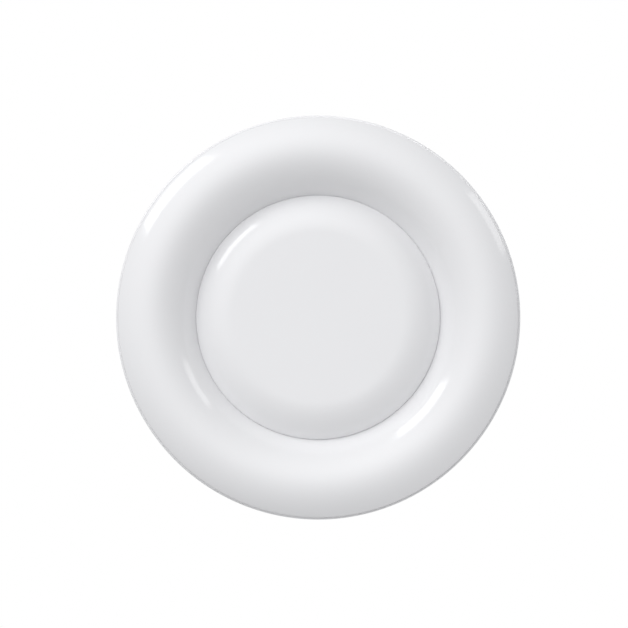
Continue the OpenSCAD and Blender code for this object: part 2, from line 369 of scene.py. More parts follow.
def hexagon_outline(across_flats):
    """A hexagon with rounded corners, as [x, y] points all round."""
    corner, side_points = 0.35, 12
    corner_r = across_flats / 2 / math.cos(math.radians(30))
    # filleted() leaves corners on the axis alone, so the hexagon is rounded away from it.
    far = 2 * corner_r
    corners = [(corner_r * math.cos(math.radians(60 * i)) + far,
                corner_r * math.sin(math.radians(60 * i)) + far) for i in range(6)]
    rounded = filleted(corners, corner, 4)
    result = []
    for a, b in zip(rounded, rounded[1:] + rounded[:1]):
        span = math.dist(a, b)
        parts = side_points if span > corner_r / 2 else 1
        for t in steps(0, 1, parts)[:-1]:
            result.append((a[0] + (b[0] - a[0]) * t - far, a[1] + (b[1] - a[1]) * t - far))
    return result


def add_hexagon(bm, z, height, bore=0.0):
    """Adds a hexagon head or nut with turned chamfers, and a bore where one is given."""
    outline = hexagon_outline(HEX_AF)
    face_r = 0.475 * HEX_AF
    slope = math.tan(math.radians(30))
    lead = 0.5

    def ring(radius, at):
        return [(radius * x / math.hypot(x, y), radius * y / math.hypot(x, y), at)
                for x, y in outline]

    def side(at, inward):
        return [(x, y, at + inward * max(0.0, math.hypot(x, y) - face_r) * slope)
                for x, y in outline]

    top = z + height
    low, high = side(z, 1), side(top, -1)
    walls = [[tuple(a[k] + (b[k] - a[k]) * t for k in range(3)) for a, b in zip(low, high)]
             for t in (0.0, 0.5, 1.0)]
    rows = [ring(face_r, z), *walls, ring(face_r, top)]
    if bore:
        rows = [ring(bore + lead, z), *rows, ring(bore + lead, top),
                ring(bore, top - lead), ring(bore, z + lead)]
        add_grid(bm, rows, closed_rows=True, closed_columns=True)
    else:
        add_grid(bm, [[(0, 0, z)], *rows, [(0, 0, top)]], closed_columns=True)


# ---------------------------------------------------------------- materials

class Shader:
    """Builds one material from nodes, on the object's own coordinates."""

    def __init__(self, name):
        self.material = bpy.data.materials.new(name)
        self.material.use_nodes = True
        self.tree = self.material.node_tree
        self.bsdf = self.tree.nodes["Principled BSDF"]
        self.place = self.tree.nodes.new("ShaderNodeTexCoord").outputs["Object"]

    def set(self, **values):
        """Sets plain numbers and colours on the shader's own sockets."""
        for name, value in values.items():
            self.bsdf.inputs[name.replace("_", " ")].default_value = value

    def link(self, output, node, socket):
        self.tree.links.new(output, node.inputs[socket])

    def stretched(self, scale):
        """The object's coordinates scaled by a different number along each axis."""
        node = self.tree.nodes.new("ShaderNodeMapping")
        node.inputs["Scale"].default_value = scale
        self.link(self.place, node, "Vector")
        return node.outputs["Vector"]

    def wobbled(self, scale, reach):
        """The object's coordinates shaken by noise, so that the edges of cells are ragged."""
        shake = self.tree.nodes.new("ShaderNodeTexNoise")
        shake.inputs["Scale"].default_value = scale
        self.link(self.place, shake, "Vector")
        node = self.tree.nodes.new("ShaderNodeVectorMath")
        node.operation = "MULTIPLY_ADD"
        self.link(shake.outputs["Color"], node, 0)
        node.inputs[1].default_value = (reach, reach, reach)
        self.link(self.place, node, 2)
        return node.outputs["Vector"]

    def noise(self, scale, detail=3.0, rough=0.5, place=None, distortion=0.0):
        node = self.tree.nodes.new("ShaderNodeTexNoise")
        node.inputs["Scale"].default_value = scale
        node.inputs["Detail"].default_value = detail
        node.inputs["Roughness"].default_value = rough
        node.inputs["Distortion"].default_value = distortion
        self.link(place or self.place, node, "Vector")
        return node.outputs["Fac"]

    def cells(self, scale, output="Distance", place=None):
        node = self.tree.nodes.new("ShaderNodeTexVoronoi")
        node.inputs["Scale"].default_value = scale
        self.link(place or self.place, node, "Vector")
        return node.outputs[output]

    def ramp(self, value, stops):
        """Maps a value through colours given as [position, colour]."""
        node = self.tree.nodes.new("ShaderNodeValToRGB")
        elements = node.color_ramp.elements
        while len(elements) < len(stops):
            elements.new(0.5)
        for element, (position, colour) in zip(elements, stops):
            element.position = position
            element.color = (*colour, 1)
        self.link(value, node, "Fac")
        return node.outputs["Color"]

    def remap(self, value, low, high, start=0.3, end=0.7):
        """Maps a value that runs from start to end onto low to high."""
        node = self.tree.nodes.new("ShaderNodeMapRange")
        node.inputs["From Min"].default_value = start
        node.inputs["From Max"].default_value = end
        node.inputs["To Min"].default_value = low
        node.inputs["To Max"].default_value = high
        self.link(value, node, "Value")
        return node.outputs["Result"]

    def multiplied(self, share, first, second):
        """The first colour, darkened by a share of what the second would do to it."""
        node = self.tree.nodes.new("ShaderNodeMix")
        node.data_type = "RGBA"
        node.blend_type = "MULTIPLY"
        share_socket, first_socket, second_socket = (node.inputs[i] for i in (0, 6, 7))
        share_socket.default_value = share
        self.tree.links.new(first, first_socket)
        self.tree.links.new(second, second_socket)
        return node.outputs[2]

    def bump(self, height, strength, distance, under=None):
        node = self.tree.nodes.new("ShaderNodeBump")
        node.inputs["Strength"].default_value = strength
        node.inputs["Distance"].default_value = distance
        self.link(height, node, "Height")
        if under is not None:
            self.link(under, node, "Normal")
        return node.outputs["Normal"]

    def finish(self, colour, roughness, normal):
        """Links the three main inputs of the shader."""
        self.link(colour, self.bsdf, "Base Color")
        self.link(roughness, self.bsdf, "Roughness")
        self.link(normal, self.bsdf, "Normal")
        return self.material


def powder_coat():
    """Glossy white baked coat, with faint orange peel, pin-prick dust and rubbed patches."""
    s = Shader("powder_coat")
    clouds = s.noise(9.0, 4.0, 0.55)
    tone = s.ramp(clouds, [(0.25, (0.825, 0.826, 0.838)), (0.75, (0.850, 0.851, 0.863))])
    specks = s.cells(420.0)
    dust = s.ramp(specks, [(0.0, (0.70, 0.70, 0.70)), (0.045, (1.0, 1.0, 1.0))])
    colour = s.multiplied(0.25, tone, dust)
    rub = s.noise(38.0, 5.0, 0.6, distortion=0.4)
    roughness = s.remap(rub, 0.115, 0.175)
    peel = s.bump(s.noise(520.0, 2.0, 0.4), 0.10, 0.00006)
    fine = s.bump(s.noise(2600.0, 2.0, 0.5), 0.05, 0.00002, peel)
    s.set(IOR=1.5, Coat_Weight=0.15, Coat_Roughness=0.05)
    return s.finish(colour, roughness, fine)


def galvanised():
    """Zinc-dipped sheet with a fine spangle of crystals and a few dull stains."""
    s = Shader("galvanised")
    ragged = s.wobbled(420.0, 0.004)
    large = s.ramp(s.cells(170.0, output="Color", place=ragged),
                   [(0.15, (0.60, 0.615, 0.63)), (0.85, (0.70, 0.715, 0.73))])
    small = s.ramp(s.cells(420.0, output="Color", place=ragged),
                   [(0.15, (0.88, 0.885, 0.89)), (0.85, (1.0, 1.0, 1.0))])
    stain = s.noise(26.0, 5.0, 0.6)
    dull = s.ramp(stain, [(0.30, (0.80, 0.81, 0.82)), (0.62, (1.0, 1.0, 1.0))])
    colour = s.multiplied(0.6, s.multiplied(0.7, large, small), dull)
    roughness = s.remap(s.cells(170.0, place=ragged), 0.26, 0.40, 0.0, 0.8)
    sheet = s.bump(s.noise(340.0, 4.0, 0.6), 0.12, 0.00008)
    s.set(Metallic=1.0)
    return s.finish(colour, roughness, sheet)


def zinc_plated():
    """Bright zinc plate with a faint bluish pass and fine turning marks."""
    s = Shader("zinc_plated")
    tint = s.noise(60.0, 3.0, 0.5)
    colour = s.ramp(tint, [(0.3, (0.66, 0.68, 0.71)), (0.55, (0.76, 0.765, 0.765)),
                           (0.75, (0.74, 0.73, 0.68))])
    marks = s.noise(900.0, 3.0, 0.6, s.stretched((0.35, 0.35, 3.0)))
    roughness = s.remap(s.noise(210.0, 4.0, 0.6), 0.22, 0.38)
    s.set(Metallic=1.0)
    return s.finish(colour, roughness, s.bump(marks, 0.12, 0.00004))


def spring_steel():
    """Oil-tempered spring steel, dark with a straw and blue bloom and rubbed highs."""
    s = Shader("spring_steel")
    bloom = s.noise(75.0, 4.0, 0.6, distortion=0.6)
    colour = s.ramp(bloom, [(0.25, (0.20, 0.215, 0.25)), (0.5, (0.30, 0.30, 0.31)),
                            (0.72, (0.36, 0.33, 0.27))])
    rolled = s.noise(700.0, 4.0, 0.6, s.stretched((1.0, 1.0, 0.12)))
    roughness = s.remap(rolled, 0.26, 0.44)
    s.set(Metallic=1.0)
    return s.finish(colour, roughness, s.bump(rolled, 0.15, 0.00005))


def epdm():
    """Black moulded rubber with a matt bloom."""
    s = Shader("epdm")
    bloom = s.noise(120.0, 5.0, 0.65)
    colour = s.ramp(bloom, [(0.3, (0.012, 0.012, 0.013)), (0.75, (0.034, 0.034, 0.036))])
    roughness = s.remap(s.noise(300.0, 4.0, 0.6), 0.52, 0.72)
    skin = s.bump(s.noise(1500.0, 3.0, 0.6), 0.2, 0.00005)
    return s.finish(colour, roughness, skin)


def foam():
    """Dark closed-cell foam with open pores on its cut faces, whose hollows are painted darker
    as painted shade.
    """
    s = Shader("foam")
    pore_dents_and_shade = s.cells(1100.0)
    # Painted shade: the colour darkens towards each pore's middle, where the bump sinks its
    # dent.
    colour = s.ramp(pore_dents_and_shade, [(0.0, (0.020, 0.021, 0.023)), (0.6, (0.075, 0.078, 0.082))])
    patches = s.remap(s.noise(90.0, 4.0, 0.6), 0.82, 0.98)
    skin = s.bump(pore_dents_and_shade, 0.6, 0.0002)
    return s.finish(colour, patches, s.bump(s.noise(240.0, 4.0, 0.6), 0.3, 0.0003, skin))


def nylon():
    """Natural moulded nylon, slightly cloudy, with fine flow lines."""
    s = Shader("nylon")
    flow = s.noise(85.0, 4.0, 0.55, distortion=1.2)
    colour = s.ramp(flow, [(0.3, (0.70, 0.66, 0.55)), (0.7, (0.79, 0.76, 0.67))])
    roughness = s.remap(s.noise(260.0, 3.0, 0.5), 0.32, 0.48)
    s.set(Subsurface_Weight=0.15, Subsurface_Scale=0.002)
    return s.finish(colour, roughness, s.bump(s.noise(800.0, 3.0, 0.5), 0.08, 0.00004))


COAT = powder_coat()
GALVANISED = galvanised()
ZINC = zinc_plated()
SPRING = spring_steel()
RUBBER = epdm()
FOAM = foam()
NYLON = nylon()


def placed(piece, body, slot, *nodes):
    """Fixes a piece to its CAD body and hides the CAD nodes that it stands for; its slot is not
    used.
    """
    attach(piece, body)
    if nodes:
        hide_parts(*nodes)
    return piece


# ---------------------------------------------------------------- the valve's body

def flank(side, inset):
    """One flank of the ring's section, from the crest to its wall, with side -1 for the inner
    slope and 1 for the outer bulge: a wide arc, a straight stretch and a tight fold."""
    if side < 0:
        wide, tilt, tight, wall_r = SLOPE_CREST, SLOPE_TILT, SLOPE_FOLD, THROAT_R
    else:
        wide, tilt, tight, wall_r = BULGE_CREST, BULGE_TILT, BULGE_FOLD, SKIRT_R
    lean = math.radians(tilt)
    middle_z = CREST_Z + wide
    fold_r = wall_r - side * tight
    straight = side * (fold_r - CREST_R) - (wide - tight) * math.sin(lean)
    fold_z = middle_z - (wide - tight) * math.cos(lean) + straight * math.tan(lean)

    def point(r, z, radius, angle):
        a = math.radians(angle)
        return (r + side * (radius - inset) * math.sin(a), z - (radius - inset) * math.cos(a))

    crest = [point(CREST_R, middle_z, wide, a) for a in steps(0, tilt, 36)]
    fold = [point(fold_r, fold_z, tight, a) for a in steps(tilt, 90, 10)]
    start, end = Vector(crest[-1]), Vector(fold[0])
    return crest + [tuple(start.lerp(end, t)) for t in steps(0, 1, 5)[1:-1]] + fold


def face_ring():
    """The pressed face ring: collar, slope, crest, bulge, skirt and rolled bead."""
    bead_from, bead_to = -122, 90
    bead = arc(FACE_R - BEAD_R, -BEAD_GAP - BEAD_R, BEAD_R, bead_from, bead_to, 9)
    groove, lip = 0.12, 0.1
    inside_r = SKIRT_R - RING_SHEET
    outline = [(THROAT_R, COLLAR_TOP - COLLAR_EDGE), *reversed(flank(-1, 0)), *flank(1, 0)[1:],
               (SKIRT_R, bead[0][1] - groove), *bead,
               (inside_r + lip, -BEAD_GAP), (inside_r, -BEAD_GAP - lip),
               *reversed(flank(1, RING_SHEET)), *flank(-1, RING_SHEET)[1:],
               (COLLAR_R, COLLAR_TOP - COLLAR_EDGE), (COLLAR_R - COLLAR_EDGE, COLLAR_TOP),
               (THROAT_R + COLLAR_EDGE, COLLAR_TOP)]
    ring = lathe("ring_sheet", outline, COAT, ROUND, sharp=50)
    placed(ring, "valve_body", "powder_coat", "face_ring")


def neck():
    """The tube welded round the collar, the bead of its lap weld, and its own seam."""
    tube = lathe("neck_tube", filleted([
        (COLLAR_R, NECK_BOTTOM), (NECK_R, NECK_BOTTOM), (NECK_R, NECK_TOP),
        (COLLAR_R, NECK_TOP)], 0.3), COAT)
    placed(tube, "valve_body", "powder_coat", "neck")
    lap_weld()
    neck_seam()


def lap_weld():
    """The rippled bead where the neck's lower edge is welded to the collar."""
    height, ripple, ripples, per_ripple = 0.75, 0.07, 120, 6
    middle_r, root_r, weld_z = COLLAR_R + 0.05, COLLAR_R - 0.2, NECK_BOTTOM + 0.1
    segments = ripples * per_ripple
    rows = []
    for i in range(segments):
        a = 2 * math.pi * i / segments
        size = height + ripple * math.sin(ripples * a)
        bead = arc(middle_r, weld_z, size, -90, 0, 15)
        rows.append([(r * math.cos(a), r * math.sin(a), z)
                     for r, z in [(root_r, weld_z), *bead]])
    bm = bmesh.new()
    add_grid(bm, rows, closed_rows=True, closed_columns=True)
    placed(finished("lap_weld", bm, COAT), "valve_body", "powder_coat")


def neck_seam():
    """The low welded seam along the neck's tube."""
    place = turned_to(45.0)
    half_width, height, sunk = 1.3, 0.22, 0.1
    unevenness, wave_rate = 0.12, 4.1
    rows = []
    for z in steps(NECK_BOTTOM + 1.0, NECK_TOP - 0.4, 40):
        wave = 1 + unevenness * math.sin(z * wave_rate)
        row = []
        for t in steps(-1, 1, 8):
            r = NECK_R - sunk + (height * wave + sunk) * math.sqrt(max(0.0, 1 - t * t))
            y = t * half_width * wave
            row.append(place @ Vector((math.sqrt(r * r - y * y), y, z)))
        rows.append(row)
    bm = bmesh.new()
    ends = [[sum((p for p in row), Vector()) / len(row)] for row in (rows[0], rows[-1])]
    add_grid(bm, [ends[0], *rows, ends[1]], closed_columns=True)
    placed(finished("neck_seam", bm, COAT), "valve_body", "powder_coat")


def flange_seal():
    """The foam ring glued inside the bulge, with soft edges."""
    low, top, outer = node_span("flange_seal")
    inner = [p for p in flank(1, RING_SHEET) if FOAM_R < p[0] < outer]
    outline = filleted([(outer, top), (inner[0][0], top), *inner], 0.7)
    placed(lathe("foam_ring", outline, FOAM), "valve_body", "foam", "flange_seal")


def crossbar():
    """The bar across the neck: one strip bent up at both ends, bored for the bush."""
    centre_z = BAR_Z + BAR_T / 2
    end_r = BAR_R - BAR_T / 2
    bend, corner = 2.2, 2.0
    half = [(x, centre_z) for x in steps(0, end_r - bend, 14)]
    half += arc(end_r - bend, centre_z + bend, bend, -90, 0, 11)[1:]
    half += [(end_r, z) for z in steps(centre_z + bend, BAR_TAB_TOP, 8)[1:]]
    path = [(-x, z) for x, z in reversed(half[1:])] + half

    def row_at(i, x, z):
        short = max(0.0, corner - (BAR_TAB_TOP - path[i][1]))
        width = BAR_W / 2 - corner + math.sqrt(corner ** 2 - short ** 2)
        return [(x * math.sqrt(1 - (y / end_r) ** 2), y, z) for y in steps(-width, width, 12)]

    bm = bmesh.new()
    add_strip(bm, path, BAR_T, row_at)
    bar = finished("crossbar_strip", bm, GALVANISED)
    drill_low, drill_top = BAR_Z - BAR_T, BAR_Z + 2 * BAR_T
    hole = lathe("hole", [(0, drill_low), (BUSH_R, drill_low), (BUSH_R, drill_top),
                          (0, drill_top)], GALVANISED, SMALL_ROUND)
    bored(bar, [hole])
    bevelled(bar, 0.25, 3)
    placed(bar, "valve_body", "galvanised", "crossbar")


def rivet(name, node, turn, z, radius, inside, outside):
    """A blind rivet: domed head with the broken pin in its bore, and a formed tail."""
    head, tail, bore = 1.7 * radius, 1.5 * radius, 0.42 * radius
    tail_h, dome_h, edge_h = 1.2, 1.25, 0.3
    top = outside + dome_h
    dome = [(head * math.cos(a), outside + edge_h + (dome_h - edge_h) * math.sin(a))
            for a in map(math.radians, steps(0, 72, 9))]
    pin = [(bore, top - 0.6), (0.55 * bore, top - 0.5), (0, top - 0.62)]
    outline = filleted([(0, inside - tail_h), (0.72 * tail, inside - tail_h),
                        (tail, inside - 0.55 * tail_h), (0.96 * tail, inside),
                        (radius, inside), (radius, outside), (head, outside), *dome,
                        (bore + 0.25, top - 0.02), (bore, top - 0.25), *pin], 0.12, 3)
    place = turned_to(turn) @ Matrix.Translation((0, 0, z)) @ Matrix.Rotation(
        math.radians(90), 4, "Y")
    piece = lathe(name, outline, ZINC, SMALL_ROUND, place)
    placed(piece, "valve_body", "zinc_plated", node)


def rivets():
    """Four rivets through the crossbar's tabs, and three through the clips' feet."""
    play = 0.12
    bar_turns = {"1": -6.0, "2": 6.0, "3": 174.0, "4": 186.0}
    bar_rivet_z, bar_rivet_r = BAR_Z + 6.5, 2.0
    for number, turn in bar_turns.items():
        rivet(f"bar_rivet_{number}", f"crossbar_rivet_{number}", turn, bar_rivet_z,
              bar_rivet_r, BAR_R - BAR_T - play, NECK_R)
    foot_rivet_z, foot_rivet_r = FOOT_Z + 3.6, 1.6
    for number, turn in CLIP_TURNS.items():
        rivet(f"foot_rivet_{number}", f"clip_rivet_{number}", turn, foot_rivet_z,
              foot_rivet_r, COLLAR_R - play, FOOT_R + CLIP_T)


def threaded_bush():
    """The flanged bush that the spindle screws through."""
    low, top, flange_r = node_span("threaded_bush")
    bore, lead, chamfer, edge = THREAD_R + THREAD_PLAY, 0.5, 0.6, 0.4
    outline = filleted([(bore + lead, low), (flange_r - edge, low), (flange_r, low + edge),
                        (flange_r, BAR_Z), (BUSH_R, BAR_Z), (BUSH_R, top - chamfer),
                        (BUSH_R - chamfer, top), (bore + lead, top), (bore, top - lead),
                        (bore, low + lead)], 0.15, 3)
    placed(lathe("bush_turned", outline, ZINC, SMALL_ROUND), "valve_body", "zinc_plated",
           "threaded_bush")


def corner_loss(share, radius):
    """How much narrower a strip is in its rounded corner, at a share of the corner's length."""
    return radius * (1 - math.sqrt(max(0.0, 1 - (1 - share) ** 2)))


def foot_half_width(s):
    """Half width of a clip's foot, which has round lower corners."""
    corner = 0.22
    return CLIP_W / 2 - (corner_loss(s / corner, 2.0) if s < corner else 0)


def blade_half_width(s):
    """Half width of a clip's blade, which has round corners at its tip."""
    corner = 0.13
    return CLIP_W / 2 - (corner_loss((1 - s) / corner, 2.2) if s > 1 - corner else 0)


def wall_share(s):
    """How closely a clip's foot follows the neck's curve, from 1 to 0 at its bend."""
    level = 0.6
    return 1.0 if s < level else max(0.0, 1 - (s - level) / (1 - level)) ** 2


def no_share(s):
    """A clip's blade is straight across, and doesn't follow the neck's curve."""
    return 0.0


def foot_path():
    """The foot of a clip: straight up the neck, then out to the bend."""
    foot_r = FOOT_R + CLIP_T / 2
    bend_h = 1.6
    bend = [(0.04, 1.1), (0.12, 0.6)]
    return [*[(foot_r, z) for z in steps(FOOT_Z, PIVOT[1] - bend_h, 8)],
            *[(foot_r + out, PIVOT[1] - under) for out, under in bend], PIVOT]


def blade_path():
    """The blade of a clip: out to its rounded apex, and back in to its tip."""
    bend = 1.6
    pivot, apex, tip = Vector(PIVOT), Vector(CLIP_APEX), Vector(CLIP_TIP)
    start = pivot + (apex - pivot) * (1 - bend / (apex - pivot).length)
    end = apex + (tip - apex).normalized() * bend
    rise = [pivot.lerp(start, t) for t in steps(0, 1, 12)]
    turn = [start * (1 - t) ** 2 + apex * 2 * t * (1 - t) + end * t ** 2
            for t in steps(0, 1, 6)[1:]]
    hook = [end.lerp(tip, t) for t in steps(0, 1, 8)[1:]]
    return [tuple(p) for p in rise + turn + hook]


def clip_strip(name, path, half_width, follow, turn):
    """One part of a spring clip. half_width(s) and follow(s) are its half width and the share
    of the neck's curve that it follows, at each share s of its length."""
    place = turned_to(turn)

    def row_at(i, r, z):
        s = i / (len(path) - 1)
        across = steps(-half_width(s), half_width(s), 8)
        return [place @ Vector((r - (r - math.sqrt(r * r - y * y)) * follow(s), y, z))
                for y in across]

    bm = bmesh.new()
    add_strip(bm, path, CLIP_T, row_at)
    return bevelled(finished(name, bm, SPRING), 0.16)


def clips():
    """Each spring clip: its riveted foot, and the blade that bends out from the foot."""
    for number, turn in CLIP_TURNS.items():
        foot = clip_strip(f"clip_plate_{number}", foot_path(), foot_half_width, wall_share, turn)
        placed(foot, "valve_body", "spring_steel", f"clip_foot_{number}")
        blade = clip_strip(f"clip_spring_{number}", blade_path(), blade_half_width, no_share,
                           turn)
        placed(blade, f"clip_{number}", "spring_steel", f"clip_blade_{number}")


# ---------------------------------------------------------------- the disc and spindle

def rim_point(turn, inset):
    """A point of the disc's rounding, at 0 beside the flat front."""
    a = math.radians(turn)
    return (FLAT_R + (DISC_ROUND - inset) * math.sin(a),
            FRONT_Z + DISC_ROUND - (DISC_ROUND - inset) * math.cos(a))


def disc():
    """The pressed disc, with its edge folded back into a hem."""
    fold = rim_point(RIM_TURN, DISC_SHEET)
    fold_end = 4
    hem = 2 * DISC_SHEET
    flat_radii = steps(4, FLAT_R, 8)
    outline = [(0, FRONT_Z), *[(r, FRONT_Z) for r in flat_radii[:-1]],
               *[rim_point(t, 0) for t in steps(0, RIM_TURN, 36)],
               *arc(*fold, DISC_SHEET, fold_end - RIM_TURN, 180 - fold_end - RIM_TURN, 9),
               *[rim_point(t, hem) for t in steps(RIM_TURN - 1, HEM_FROM + 0.4, 8)],
               rim_point(HEM_FROM, hem - 0.2),
               *[rim_point(t, DISC_SHEET) for t in steps(HEM_FROM, 0, 24)],
               *[(r, BACK_Z) for r in reversed(flat_radii[:-1])], (0, BACK_Z)]
    shell = lathe("disc_pressing", outline, COAT, ROUND, sharp=50)
    placed(shell, "disc", "powder_coat", "disc_shell")


def hub():
    """The cup behind the disc, and the spot welds round its flange."""
    wall = HUB_SHEET
    bore = THREAD_R + 0.2
    outline = [(HUB_FLANGE_R, BACK_Z), (HUB_FLANGE_R, BACK_Z + wall),
               (HUB_R, BACK_Z + wall), (HUB_R, HUB_ROOF), (bore, HUB_ROOF),
               (bore, HUB_ROOF - wall), (HUB_R - wall, HUB_ROOF - wall), (HUB_R - wall, BACK_Z)]
    cup = lathe("hub_pressing", filleted(outline, 0.9, 6), GALVANISED, SMALL_ROUND * 2)
    placed(cup, "disc", "galvanised", "hub_cup")
    spot_welds()


def spot_welds():
    """The ring of pressed dimples where the cup's flange is welded to the disc."""
    count, radius, first_turn = 6, 2.3, 30
    circle_r = (HUB_R + HUB_FLANGE_R) / 2 + 0.4
    top = BACK_Z + HUB_SHEET
    dimple = [(0, top - 0.15), (0, top + 0.02), (0.55 * radius, top + 0.03),
              (0.72 * radius, top + 0.13), (0.85 * radius, top + 0.14), (radius, top - 0.01),
              (radius, top - 0.15)]
    bm = bmesh.new()
    for i in range(count):
        place = turned_to(first_turn + i * 360 / count) @ Matrix.Translation((circle_r, 0, 0))
        add_lathe(bm, filleted(dimple, 0.2, 3), 32, place)
    placed(finished("spot_welds", bm, GALVANISED), "disc", "galvanised")


def thread_radius(phase, crest, root):
    """The radius of a V thread with a flat crest and a rounded root."""
    rise = min(phase, 1 - phase) * 2
    return root + (crest - root) * min(1.0, max(0.0, rise * 1.25 - 0.08))


def spindle():
    """The threaded spindle with its hexagon head and the groove for the end clip."""
    under = HUB_ROOF - HUB_SHEET
    chamfer = THREAD_R - THREAD_ROOT_R

    def threaded(z_low, z_high):
        def radius_at(phase, z):
            end = min(z - z_low, z_high - z)
            return min(thread_radius(phase, THREAD_R, THREAD_ROOT_R),
                       THREAD_R - chamfer + max(0.0, end))
        return helix(z_low, z_high, THREAD_PITCH, radius_at, lambda z: THREAD_ROOT_R)

    thread_edge = 50
    low = finished("spindle_low", threaded(under - 0.1, GROOVE_Z), ZINC, thread_edge)
    high = finished("spindle_high", threaded(GROOVE_Z + GROOVE_H, SPINDLE_TOP), ZINC,
                    thread_edge)
    core_low, core_top = GROOVE_Z - 1, GROOVE_Z + GROOVE_H + 1
    bm = bmesh.new()
    add_lathe(bm, [(0, core_low), (GROOVE_R, core_low), (GROOVE_R, core_top), (0, core_top)],
              SMALL_ROUND)
    add_hexagon(bm, HEAD_BOTTOM, under - HEAD_BOTTOM)
    rod = joined("spindle_thread", [low, high, finished("spindle_head", bm, ZINC)])
    placed(rod, "disc", "zinc_plated", "spindle")


def nut(name, node, body):
    """A chamfered hexagon nut."""
    chamfer_edge = 28
    low, top, _ = node_span(node)
    bm = bmesh.new()
    add_hexagon(bm, low, top - low, THREAD_R + THREAD_PLAY)
    placed(finished(name, bm, ZINC, chamfer_edge), body, "zinc_plated", node)


def washer(name, node, body, bore, material, slot, edge):
    """A flat washer with rounded edges."""
    low, top, outer = node_span(node)
    outline = filleted([(bore, low), (outer, low), (outer, top), (bore, top)], edge, 4)
    placed(lathe(name, outline, material, SMALL_ROUND), body, slot, node)


def end_clip():
    """The E-clip snapped into the spindle's groove."""
    clip = rounded_copy("end_clip", "e_clip", SPRING, 0.16)
    placed(clip, "disc", "spring_steel", "end_clip")


# ---------------------------------------------------------------- the mounting frame

def spigot_wall(r):
    """One face of the spigot's wall, upwards, with the seat rolled in for the lip seal."""
    return [(r, SEAT_FROM - SEAT_DEPTH), (r - SEAT_DEPTH, SEAT_FROM), (r - SEAT_DEPTH, SEAT_TO),
            (r, SEAT_TO + SEAT_DEPTH), (r, SPIGOT_TOP)]


def mounting_frame():
    """The spun frame: spigot with a rolled seat, bend and drilled flange."""
    inner = SPIGOT_R - FRAME_SHEET
    bend_r = inner + BEND_R
    bend_z = BEND_R - FRAME_SHEET
    outline = [*reversed(spigot_wall(inner)), *arc(bend_r, bend_z, BEND_R, 180, 270, 10),
               *[(r, -FRAME_SHEET) for r in steps(bend_r, FLANGE_R, 4)[1:]],
               *[(r, 0) for r in steps(FLANGE_R, bend_r, 4)[:-1]],
               *arc(bend_r, bend_z, BEND_R - FRAME_SHEET, 270, 180, 10), *spigot_wall(SPIGOT_R)]
    spun = lathe("frame_spinning", filleted(outline, 0.35, 4), GALVANISED)
    reach, sink_z = 3, -FRAME_SHEET + 0.15
    holes = []
    for number, turn in SCREW_TURNS.items():
        place = turned_to(turn) @ Matrix.Translation((SCREW_CIRCLE_R, 0, 0))
        drill = [(0, -reach), (SCREW_HOLE_R + 2.2, -reach), (SCREW_HOLE_R, sink_z),
                 (SCREW_HOLE_R, reach), (0, reach)]
        holes.append(lathe(f"drill_{number}", drill, GALVANISED, 64, place))
    bored(spun, holes)
    placed(spun, "mounting_frame", "galvanised", "mounting_frame")


def lip_seal():
    """The rubber seal in the frame's seat, with two swept lips."""
    low, top, lip_r = node_span("lip_seal")
    seat_r = SPIGOT_R - SEAT_DEPTH
    band_r = seat_r + 1.1
    outline = filleted([
        (seat_r, low), (band_r, low), (band_r, low + 1.4), (lip_r - 0.2, low + 0.5),
        (lip_r, low + 1.0), (band_r, low + 2.5), (band_r, low + 4.0), (lip_r - 0.3, low + 3.2),
        (lip_r - 0.1, low + 3.7), (band_r, low + 5.1), (band_r, top), (seat_r, top)], 0.22, 4)
    placed(lathe("lip_seal_moulding", outline, RUBBER), "mounting_frame", "epdm", "lip_seal")


def recess_arm(name, low, turn):
    """A tapered blade that cuts one arm of a screw's cross recess, in a head from z = low."""
    long, wide, deep, above = 2.2, 0.5, 1.5, 0.3
    rows = []
    for share, z in ((1.0, low - above), (0.45, low + deep)):
        a, b = long * share, wide * (0.6 + 0.4 * share)
        rows.append([(-a, -b, z), (a, -b, z), (a, b, z), (-a, b, z)])
    bm = bmesh.new()
    add_grid(bm, [[(0, 0, low - above)], *rows, [(0, 0, low + deep)]], closed_columns=True)
    arm = finished(name, bm, ZINC)
    arm.matrix_world = turned_to(turn)
    return arm


def frame_screw(number, turn):
    """A pan-head tapping screw with a cross recess and a coarse thread."""
    node = f"frame_screw_{number}"
    low, top, _ = node_span(node)
    head_r, under = 4.0, -FRAME_SHEET
    pan_h = under - low
    major, minor, pitch = 2.1, 1.5, 1.8
    neck_top, thread_from = 0.6, 0.1
    crown = [(0.985 * head_r * math.sin(a), under - pan_h * (0.18 + 0.82 * math.cos(a)))
             for a in map(math.radians, steps(0, 90, 12))]
    head = lathe(f"screw_head_{number}", filleted(
        [*crown, (head_r, under - 0.15 * pan_h), (head_r - 0.12, under), (minor, under),
         (minor, neck_top), (0, neck_top)], 0.15, 3), ZINC, SMALL_ROUND)
    bored(head, [recess_arm(f"arm_{arm_turn}", low, arm_turn) for arm_turn in (45, 135)])

    taper, lead_in, tip = 4.0, 0.8, 0.06

    def radius_at(phase, z):
        crest = thread_radius(phase, major, minor)
        lead = min(1.0, max(0.0, (z - thread_from) / lead_in))
        thick = min(1.0, max(tip, (top - z) / taper))
        return (minor + (crest - minor) * lead) * thick

    bm = helix(thread_from, top, pitch, radius_at, lambda z: minor if z < 1 else tip, 32)
    shank = finished(f"shank_{number}", bm, ZINC, 50)
    screw = joined(f"tapping_screw_{number}", [head, shank])
    screw.data.transform(turned_to(turn) @ Matrix.Translation((SCREW_CIRCLE_R * MM, 0, 0)))
    placed(screw, "mounting_frame", "zinc_plated", node)


# ---------------------------------------------------------------- stage, light and camera

def direction(turn, off_axis):
    """Unit vector away from the object. Seen from the front, turn runs anticlockwise from the
    right, and off_axis is the angle from straight below."""
    t, o = math.radians(turn), math.radians(off_axis)
    return Vector((-math.cos(t) * math.sin(o), math.sin(t) * math.sin(o), -math.cos(o)))


